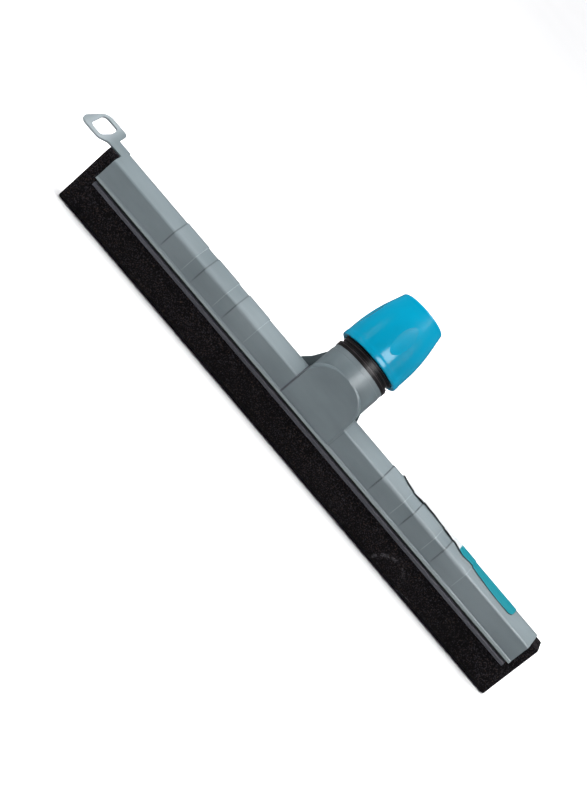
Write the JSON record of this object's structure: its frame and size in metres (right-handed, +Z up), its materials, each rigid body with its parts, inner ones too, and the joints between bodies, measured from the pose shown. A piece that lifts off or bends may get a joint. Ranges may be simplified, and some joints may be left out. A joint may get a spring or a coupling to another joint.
{
  "type": "squeegee head",
  "caption": "Straight squeegee head with a double foam-rubber blade, a leaning screw clamp for a pole and a hanging eyelet.",
  "frame": {"origin": "middle of the blade's lower lips, where the two foam leaves meet, in line with the pole's axis from the front", "axes": "+X along the blade, away from the hanging eyelet; +Z up from the lips; the blade's front faces -Y and the pole leans back towards +Y"},
  "size_m": [0.4215, 0.062, 0.1228],
  "materials": {
    "grey_plastic": "moulded, satin",
    "slate_plastic": "extruded, satin",
    "foam_rubber": "closed-cell foam with a fine open skin",
    "black_plastic": "moulded, semi-gloss",
    "collet_plastic": "moulded, satin",
    "blue_plastic": "moulded, glossy",
    "label_film": "printed film"
  },
  "bodies": {
    "head": {"head_housing": "grey_plastic", "blade_cassette": "slate_plastic", "front_foam_strip": "foam_rubber", "rear_foam_strip": "foam_rubber", "threaded_insert": "black_plastic", "product_label": "label_film"},
    "collet": {"split_collet": "collet_plastic"},
    "nut": {"lock_nut": "blue_plastic"}
  },
  "joints": [
    {"name": "nut_advance", "type": "slide", "parent": "head", "child": "collet", "axis": [0, 0.4274, 0.9041], "range_m": [-0.0042, 0.0026]},
    {"name": "nut_turn", "type": "hinge", "parent": "collet", "child": "nut", "pos_m": [0, 0.02142, 0.09558], "axis": [0, 0.4274, 0.9041], "range_deg": [-600, 360]}
  ],
  "couplings": [
    {"joint": "nut_advance", "follows": "nut_turn", "m_per_rad": 0.00039789}
  ]
}
